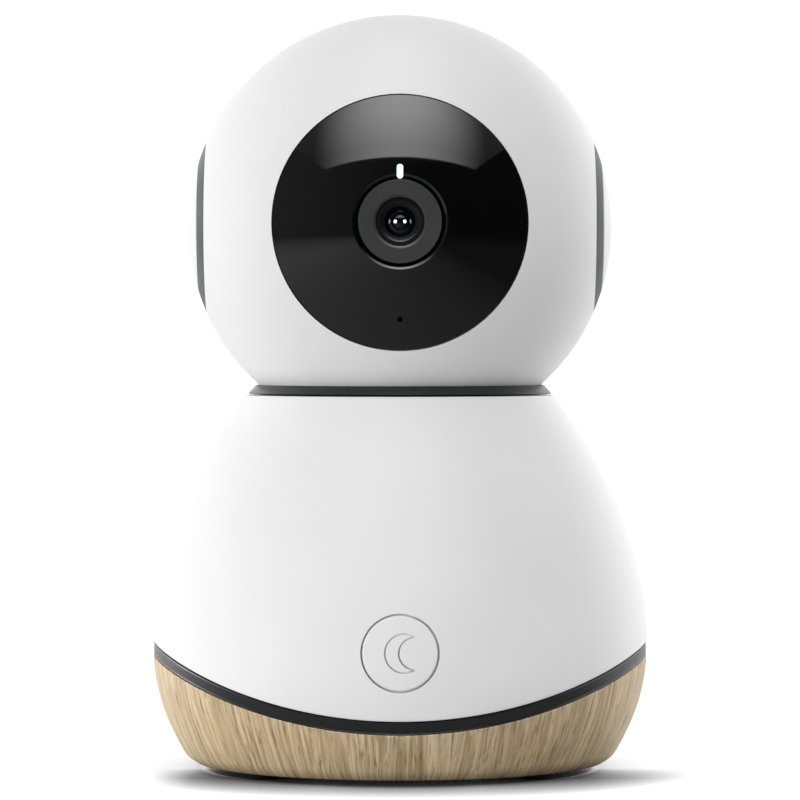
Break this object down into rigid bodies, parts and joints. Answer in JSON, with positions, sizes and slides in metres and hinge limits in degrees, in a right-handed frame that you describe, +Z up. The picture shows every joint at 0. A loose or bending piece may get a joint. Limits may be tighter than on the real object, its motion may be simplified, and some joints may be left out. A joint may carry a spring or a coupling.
{
  "type": "security camera",
  "caption": "Desk security camera: a ball head that pans and tilts on a rounded white body with a light wood base.",
  "frame": {"origin": "on the table under the middle of the base", "axes": "+Z up along the pan axis; the lens looks along -Y; +X is on the right of someone facing the lens"},
  "size_m": [0.1054, 0.1054, 0.16],
  "materials": {
    "white_abs": "satin",
    "graphite": "satin",
    "soft_black": "satin",
    "black_gloss": "polished",
    "oak": "oiled",
    "rubber": "matte",
    "steel": "satin",
    "brass": "satin",
    "acetal": "satin",
    "circuit_board": "satin",
    "chip_black": "matte",
    "aluminium": "satin",
    "lens_glass": "polished",
    "status_light": "satin",
    "cone_black": "matte"
  },
  "bodies": {
    "base": {"foot_front_left": "rubber", "foot_rear_left": "rubber", "foot_front_right": "rubber", "foot_rear_right": "rubber", "wood_base_ring": "oak", "trim_band": "soft_black", "base_plate": "graphite", "base_screw_1": "steel", "base_screw_2": "steel", "base_screw_3": "steel", "ballast_plate": "steel", "main_board": "circuit_board", "wifi_module": "aluminium", "power_socket": "steel", "reset_switch": "chip_black", "speaker_basket": "steel", "speaker_cone": "cone_black", "button_switch": "chip_black", "button_board": "circuit_board", "body_shell": "white_abs", "motor_deck": "graphite", "deck_screw_1": "steel", "deck_screw_2": "steel", "deck_screw_3": "steel", "pan_bush": "acetal", "pan_motor": "steel", "pan_motor_screw_left": "steel", "pan_motor_screw_right": "steel", "base_cable": "rubber"},
    "button": {"front_button": "white_abs"},
    "reset": {"reset_plunger": "acetal"},
    "pan_drive": {"pan_pinion": "brass"},
    "pan": {"pan_gear": "acetal", "pan_clip": "steel", "turntable": "soft_black", "yoke": "graphite", "rear_shutter": "graphite", "pivot_ring_left": "graphite", "pivot_ring_right": "graphite", "pivot_cap_left": "white_abs", "pivot_cap_right": "white_abs", "tilt_motor": "steel", "pan_cable": "rubber"},
    "tilt_drive": {"tilt_pinion": "brass"},
    "head": {"head_front_shell": "white_abs", "head_rear_shell": "white_abs", "tilt_gear": "acetal", "face_window": "black_gloss", "lens_bezel": "graphite", "status_light_guide": "status_light", "microphone": "steel", "camera_bracket": "graphite", "infrared_board": "circuit_board", "lens_holder": "chip_black", "lens_barrel": "chip_black", "lens_front_glass": "lens_glass", "image_sensor": "chip_black", "camera_board": "circuit_board", "head_cable": "rubber"}
  },
  "joints": [
    {"name": "head_pan", "type": "hinge", "parent": "base", "child": "pan", "pos_m": [0, 0, 0.06], "axis": [0, 0, 1], "range_deg": [-175, 175]},
    {"name": "head_tilt", "type": "hinge", "parent": "pan", "child": "head", "pos_m": [0, 0, 0.115], "axis": [-1, 0, 0], "range_deg": [-20, 38]},
    {"name": "pan_motor_spin", "type": "hinge", "parent": "base", "child": "pan_drive", "pos_m": [0, -0.018, 0.06], "axis": [0, 0, 1], "range_deg": [-705, 705]},
    {"name": "tilt_motor_spin", "type": "hinge", "parent": "pan", "child": "tilt_drive", "pos_m": [0.036, 0.0144, 0.115], "axis": [-1, 0, 0], "range_deg": [-118, 64]},
    {"name": "button_press", "type": "slide", "parent": "base", "child": "button", "axis": [0, 1, 0], "range_m": [0, 0.0008], "stiffness_N_per_m": 300},
    {"name": "reset_press", "type": "slide", "parent": "base", "child": "reset", "axis": [0, -1, 0], "range_m": [0, 0.0003], "stiffness_N_per_m": 500}
  ],
  "couplings": [
    {"joint": "pan_motor_spin", "follows": "head_pan", "ratio": -4},
    {"joint": "tilt_motor_spin", "follows": "head_tilt", "ratio": -3}
  ]
}
